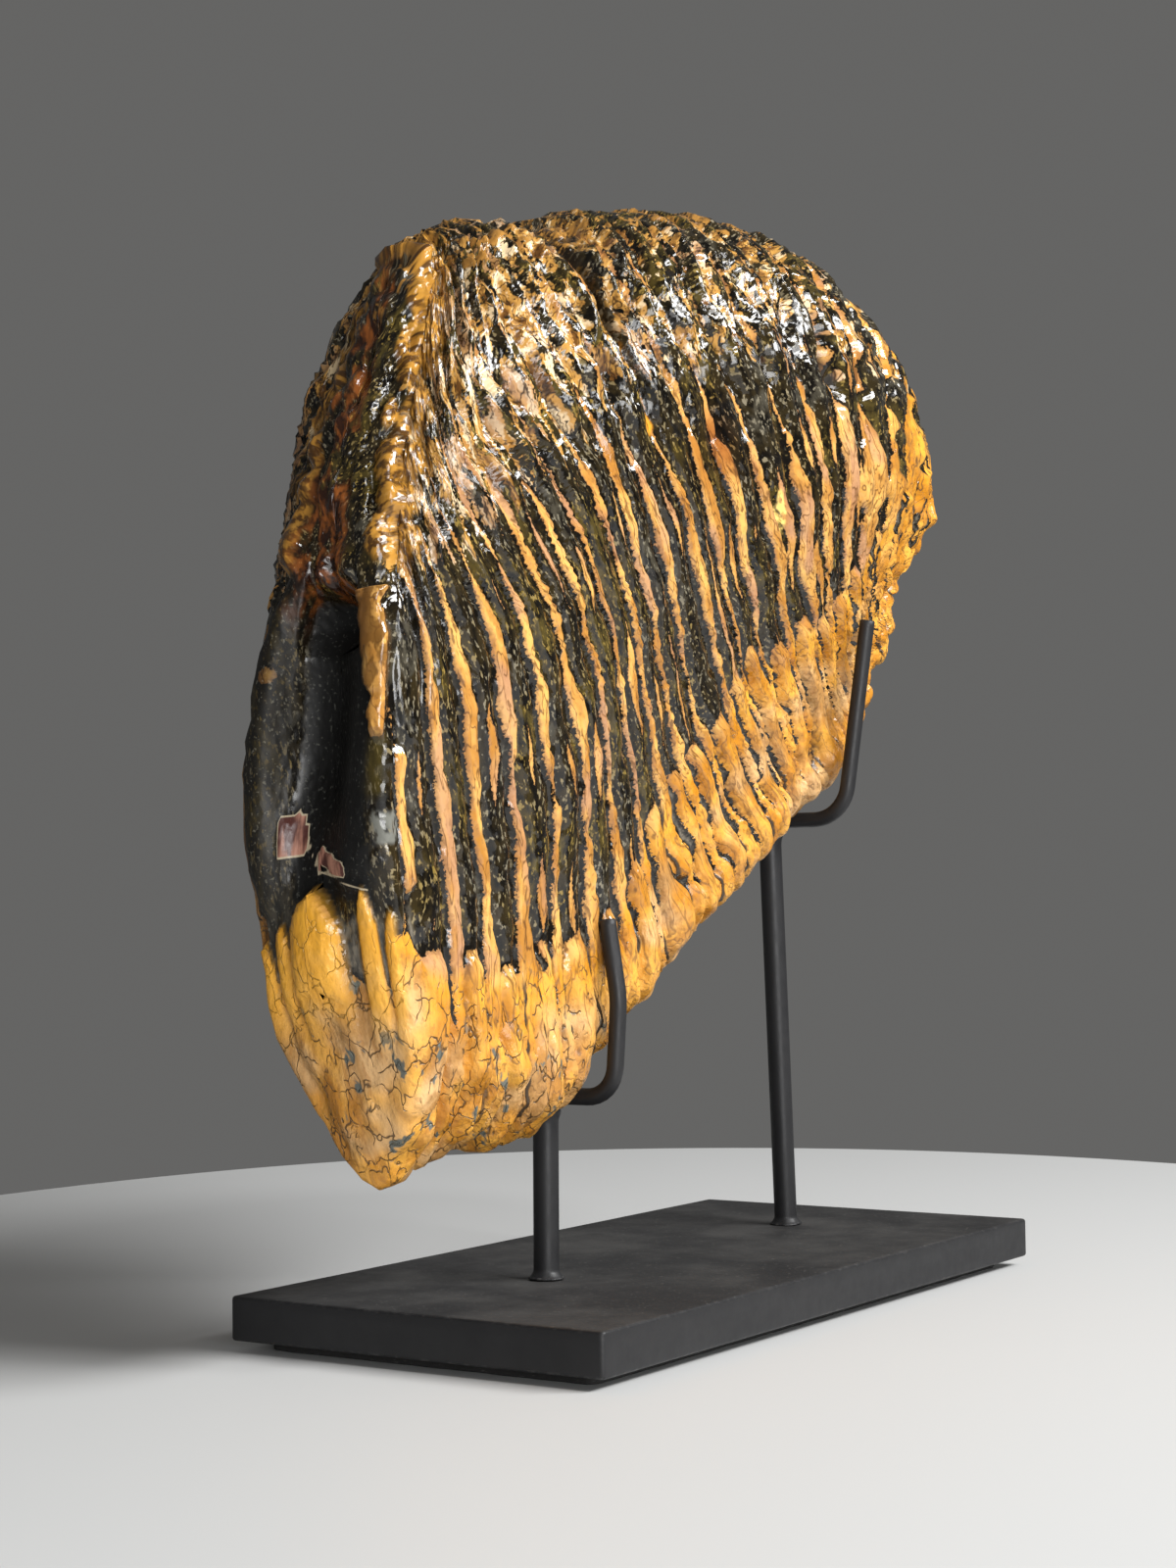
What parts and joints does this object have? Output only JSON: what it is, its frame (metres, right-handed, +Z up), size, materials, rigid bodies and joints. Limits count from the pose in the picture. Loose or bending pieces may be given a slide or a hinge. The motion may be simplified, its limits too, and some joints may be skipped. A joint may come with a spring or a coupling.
{
  "type": "fossil mammoth tooth on a stand",
  "caption": "Fossil mammoth molar with dark enamel plates and ochre cement, resting upright in the rod cradles of a flat black steel stand.",
  "frame": {"origin": "centre of the soft pad's underside, on the surface that the stand rests on", "axes": "+Z up; +X along the base plate's long side, from the tooth's low front end to its high rear end; +Y across the plate"},
  "size_m": [0.2578, 0.1, 0.2742],
  "materials": {
    "tooth": "gloss",
    "black_steel": "satin",
    "pad": "matte"
  },
  "bodies": {
    "root": {"mammoth_tooth": "tooth", "base_plate": "black_steel", "base_pad": "pad", "front_post": "black_steel", "rear_post": "black_steel", "front_cradle": "black_steel", "rear_cradle": "black_steel"}
  },
  "joints": []
}
